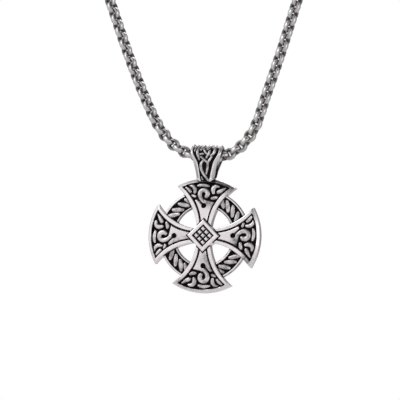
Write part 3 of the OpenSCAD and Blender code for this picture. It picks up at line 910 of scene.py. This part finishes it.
def plain_steel(name):
    """The chain's steel for pieces that were never blackened, with fine brushed clouding."""
    material = bpy.data.materials.new(name)
    material.use_nodes = True
    nodes, links = material.node_tree.nodes, material.node_tree.links
    shader = nodes["Principled BSDF"]
    shader.inputs["Metallic"].default_value = 1.0
    place = nodes.new("ShaderNodeTexCoord")
    cloud = nodes.new("ShaderNodeTexNoise")
    cloud.inputs["Scale"].default_value = BRUSH_SCALE
    cloud.inputs["Detail"].default_value = BRUSH_DETAIL
    links.new(place.outputs["Object"], cloud.inputs["Vector"])
    ramp = nodes.new("ShaderNodeValToRGB")
    ramp.color_ramp.elements[0].color = DULL_STEEL
    ramp.color_ramp.elements[1].color = BRIGHT_STEEL
    links.new(cloud.outputs["Fac"], ramp.inputs["Fac"])
    links.new(ramp.outputs["Color"], shader.inputs["Base Color"])
    rough = nodes.new("ShaderNodeMapRange")
    rough.inputs["To Min"].default_value = SMOOTHEST
    rough.inputs["To Max"].default_value = ROUGHEST
    links.new(cloud.outputs["Fac"], rough.inputs["Value"])
    links.new(rough.outputs["Result"], shader.inputs["Roughness"])
    return material


fastening = plain_steel("fastening_steel")
for node_name in FASTENING:
    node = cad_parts[node_name]
    node.data.materials.clear()
    node.data.materials.append(fastening)
print("fastening pieces", len(FASTENING))

# %% [markdown]
# ## Camera, floor and light
#
# The camera stands where the photograph was taken from: a little to the right of the front,
# slightly below the pendant, and rolled by about two degrees. A long lens keeps the shape of
# the cross. Polished metal shows nothing but what it mirrors, so the room around it is drawn
# with care: white in front and at the sides, grey below and behind, dark high up in front.

# %% The camera
AZIMUTH, ELEVATION, ROLL = np.radians(13), np.radians(-4.5), np.radians(2.2)
DISTANCE = 0.6
VIEW_WIDTH = 0.1128
SENSOR = 36.0
AIM_RIGHT, AIM_UP = -0.00125, 0.00997
TARGET_DEPTH = 2.4
CLIP_START, CLIP_END = 0.01, 20

target = Vector(in_frame(0, 0, TARGET_DEPTH))
back_to_camera = Vector((np.sin(AZIMUTH) * np.cos(ELEVATION),
                         -np.cos(AZIMUTH) * np.cos(ELEVATION), np.sin(ELEVATION)))
right = Vector((np.cos(AZIMUTH), np.sin(AZIMUTH), 0))
up = back_to_camera.cross(right)
centre_of_view = target + AIM_RIGHT * right + AIM_UP * up
image_right = np.cos(ROLL) * right + np.sin(ROLL) * up
image_up = np.cos(ROLL) * up - np.sin(ROLL) * right

camera_data = bpy.data.cameras.new("camera")
camera_data.sensor_width = SENSOR
camera_data.lens = SENSOR * DISTANCE / VIEW_WIDTH
camera_data.clip_start, camera_data.clip_end = CLIP_START, CLIP_END
camera = bpy.data.objects.new("camera", camera_data)
bpy.context.collection.objects.link(camera)
turned = Matrix((image_right, image_up, back_to_camera)).transposed().to_4x4()
camera.matrix_world = Matrix.Translation(centre_of_view + DISTANCE * back_to_camera) @ turned
bpy.context.scene.camera = camera
print("lens", camera_data.lens, "mm")

# %% The floor
FLOOR_Z, FLOOR_R = -0.36, 0.8
FLOOR_FORWARD = 0.1
INNERMOST_R = 0.02
FLOOR_RINGS, FLOOR_SIDES = 12, 96
PAPER_WHITE, PAPER_ROUGH = (0.9, 0.9, 0.9, 1), 0.9


def floor_disc():
    """Round floor: rings of points at equal angles, closed in the middle by the smallest ring."""
    around = np.linspace(0, 2 * np.pi, FLOOR_SIDES, endpoint=False)[None, :]
    radius = np.linspace(INNERMOST_R, FLOOR_R, FLOOR_RINGS)[:, None]
    x, y = radius * np.cos(around), radius * np.sin(around) - FLOOR_FORWARD
    points = np.stack(np.broadcast_arrays(x, y, FLOOR_Z), -1)
    faces = grid_faces(FLOOR_RINGS, FLOOR_SIDES, wrap_cols=True)[:, ::-1].tolist()
    faces.append(list(range(FLOOR_SIDES)))
    mesh = bpy.data.meshes.new("floor")
    mesh.from_pydata(points.reshape(-1, 3).tolist(), [], faces)
    return bpy.data.objects.new("floor", mesh)


floor = floor_disc()
bpy.context.collection.objects.link(floor)
paper = bpy.data.materials.new("white_paper")
paper.use_nodes = True
paper_shader = paper.node_tree.nodes["Principled BSDF"]
paper_shader.inputs["Base Color"].default_value = PAPER_WHITE
paper_shader.inputs["Roughness"].default_value = PAPER_ROUGH
floor.data.materials.append(paper)
print("floor faces", len(floor.data.polygons))

# %% The white room
# Each shade of the room: a direction, then pairs of the cosine from it and a grey
ROOM_SHADES = [((0, 0, 1), [(-1, 0.35), (-0.55, 0.5), (-0.1, 0.9), (1, 1)]),
               ((0.25, -0.55, 0.8), [(0.6, 1), (0.83, 0.3), (1, 0.08)]),
               ((-0.1, -1, 0), [(-1, 0.3), (-0.5, 0.45), (0.1, 1), (0.8, 1), (1, 0.98)])]


def white_room():
    """World that the camera sees as plain white. In the metal's mirror its grey is the product
    of the shades above, each a smooth curve of the cosine from its own direction."""
    world = bpy.data.worlds.new("white_room")
    bpy.context.scene.world = world
    world.use_nodes = True
    nodes, links = world.node_tree.nodes, world.node_tree.links
    nodes.clear()
    place = nodes.new("ShaderNodeTexCoord")
    shades = []
    for direction, stops in ROOM_SHADES:
        aim = nodes.new("ShaderNodeVectorMath")
        aim.operation = "DOT_PRODUCT"
        aim.inputs[1].default_value = Vector(direction).normalized()
        links.new(place.outputs["Generated"], aim.inputs[0])
        share = nodes.new("ShaderNodeMapRange")
        share.inputs["From Min"].default_value = -1
        links.new(aim.outputs["Value"], share.inputs["Value"])
        ramp = nodes.new("ShaderNodeValToRGB")
        ramp.color_ramp.interpolation = "EASE"
        while len(ramp.color_ramp.elements) < len(stops):
            ramp.color_ramp.elements.new(0.5)
        for element, (cosine, grey) in zip(ramp.color_ramp.elements, stops):
            element.position = (cosine + 1) / 2
            element.color = (grey, grey, grey, 1)
        links.new(share.outputs["Result"], ramp.inputs["Fac"])
        shades.append(ramp.outputs["Color"])
    room_shade = shades[0]
    for shade in shades[1:]:
        darken = nodes.new("ShaderNodeMix")
        darken.data_type = "RGBA"
        darken.blend_type = "MULTIPLY"
        darken.inputs["Factor"].default_value = 1
        links.new(room_shade, darken.inputs["A"])
        links.new(shade, darken.inputs["B"])
        room_shade = darken.outputs["Result"]
    room = nodes.new("ShaderNodeBackground")
    links.new(room_shade, room.inputs["Color"])
    backdrop = nodes.new("ShaderNodeBackground")
    backdrop.inputs["Color"].default_value = (1, 1, 1, 1)
    seen = nodes.new("ShaderNodeLightPath")
    choose = nodes.new("ShaderNodeMixShader")
    links.new(seen.outputs["Is Camera Ray"], choose.inputs["Fac"])
    links.new(room.outputs["Background"], choose.inputs[1])
    links.new(backdrop.outputs["Background"], choose.inputs[2])
    out = nodes.new("ShaderNodeOutputWorld")
    links.new(choose.outputs["Shader"], out.inputs["Surface"])


white_room()
print("shades of the room", len(ROOM_SHADES))

# %% Three soft lights
LIGHT_FAR, LIGHT_SIZE = 0.9, 0.5
# Each light's azimuth and elevation in degrees, and its power in watts
LIGHTS = {"key_light": (-35, 35, 2.0), "fill_light": (60, 5, 1.0), "back_light": (180, 50, 1.5)}


def soft_light(name, azimuth, elevation, power):
    """Square soft box at that direction from the boss, turned to face it."""
    light = bpy.data.lights.new(name, "AREA")
    light.size = LIGHT_SIZE
    light.energy = power
    turn, rise = np.radians(azimuth), np.radians(elevation)
    direction = Vector((np.sin(turn) * np.cos(rise), -np.cos(turn) * np.cos(rise), np.sin(rise)))
    lamp = bpy.data.objects.new(name, light)
    lamp.location = target + LIGHT_FAR * direction
    lamp.rotation_mode = "QUATERNION"
    lamp.rotation_quaternion = direction.to_track_quat("Z", "Y")
    bpy.context.collection.objects.link(lamp)


for name, (azimuth, elevation, power) in LIGHTS.items():
    soft_light(name, azimuth, elevation, power)
bpy.context.scene.view_settings.view_transform = "Standard"
print("lights", len(LIGHTS))
